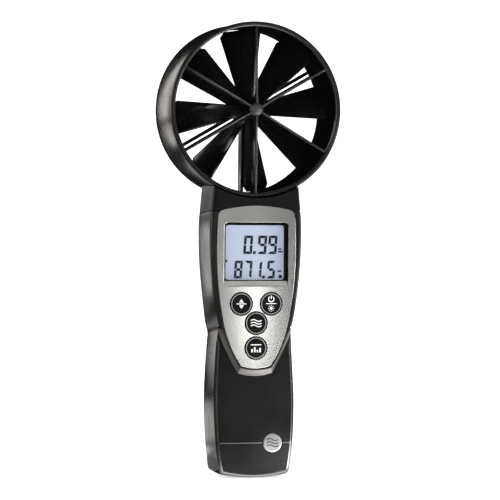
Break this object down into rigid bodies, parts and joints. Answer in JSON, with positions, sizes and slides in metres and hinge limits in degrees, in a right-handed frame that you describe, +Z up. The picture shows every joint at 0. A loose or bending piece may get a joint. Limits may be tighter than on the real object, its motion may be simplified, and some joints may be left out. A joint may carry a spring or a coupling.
{
  "type": "vane anemometer",
  "caption": "Handheld air-speed meter: a bladed impeller turns in a ring-shaped duct on top of an upright handle with a display and round keys.",
  "frame": {"origin": "centre of the bounding box, on its lowest plane: under the middle of the handle's foot", "axes": "+Z up through the handle to the ring, +X to the right as seen from the front, the display faces -Y, and the ring's axis is along Y"},
  "size_m": [0.1068, 0.045, 0.277],
  "materials": {
    "case_black": "satin black moulded plastic",
    "impeller_black": "glossy black plastic",
    "key_black": "satin black keys",
    "grip_dark": "matt dark grey, finely textured",
    "silver_plate": "satin silver",
    "trim_grey": "satin mid grey",
    "badge_silver": "satin silver disc",
    "label_silver": "blank satin plate",
    "window_clear": "clear polished window",
    "lcd_panel": "pale blue backlit display",
    "component_black": "black component",
    "diffuser_white": "white light guide",
    "board_green": "green solder mask",
    "seal_rubber": "black rubber",
    "steel": "zinc-plated steel",
    "bearing_brass": "turned brass",
    "battery_jacket": "plain wrapped battery",
    "foam_dark": "foam pad",
    "lead_red": "red insulated wire"
  },
  "bodies": {
    "instrument": {"vane_ring": "case_black", "front_guard": "case_black", "rear_guard": "case_black", "neck_front": "case_black", "neck_rear": "case_black", "front_housing": "case_black", "rear_housing": "case_black", "faceplate": "silver_plate", "faceplate_trim": "trim_grey", "grip_inlay_left": "trim_grey", "grip_inlay_right": "trim_grey", "badge": "badge_silver", "rear_label": "label_silver", "display_window": "window_clear", "lcd_module": "lcd_panel", "lcd_frame": "component_black", "backlight": "diffuser_white", "circuit_board": "board_green", "processor_chip": "component_black", "contact_strip": "seal_rubber", "keypad_mat": "seal_rubber", "neck_seal": "seal_rubber", "front_bearing": "bearing_brass", "rear_bearing": "bearing_brass", "temperature_sensor": "component_black", "battery": "battery_jacket", "battery_connector": "component_black", "battery_pad": "foam_dark", "battery_lead_red": "lead_red", "battery_lead_black": "seal_rubber", "sensor_lead": "seal_rubber", "case_screw_upper_left": "steel", "case_screw_upper_right": "steel", "case_screw_middle_left": "steel", "case_screw_middle_right": "steel"},
    "impeller": {"impeller": "impeller_black", "impeller_shaft": "steel"},
    "button_hold": {"button_hold": "key_black"},
    "button_power": {"button_power": "key_black"},
    "button_flow": {"button_flow": "key_black"},
    "button_mean": {"button_mean": "key_black"},
    "battery_cover": {"battery_cover": "grip_dark"}
  },
  "joints": [
    {"name": "impeller_spin", "type": "hinge", "parent": "instrument", "child": "impeller", "pos_m": [0, 0.0015, 0.2236], "axis": [0, 1, 0], "continuous": true},
    {"name": "button_hold_press", "type": "slide", "parent": "instrument", "child": "button_hold", "axis": [0, 1, 0], "range_m": [0, 0.0008], "stiffness_N_per_m": 1500},
    {"name": "button_power_press", "type": "slide", "parent": "instrument", "child": "button_power", "axis": [0, 1, 0], "range_m": [0, 0.0008], "stiffness_N_per_m": 1500},
    {"name": "button_flow_press", "type": "slide", "parent": "instrument", "child": "button_flow", "axis": [0, 1, 0], "range_m": [0, 0.0008], "stiffness_N_per_m": 1500},
    {"name": "button_mean_press", "type": "slide", "parent": "instrument", "child": "button_mean", "axis": [0, 1, 0], "range_m": [0, 0.0008], "stiffness_N_per_m": 1500},
    {"name": "battery_cover_hinge", "type": "hinge", "parent": "instrument", "child": "battery_cover", "pos_m": [0, 0.0135, 0.009], "axis": [-1, 0, 0], "range_deg": [0, 75]}
  ]
}
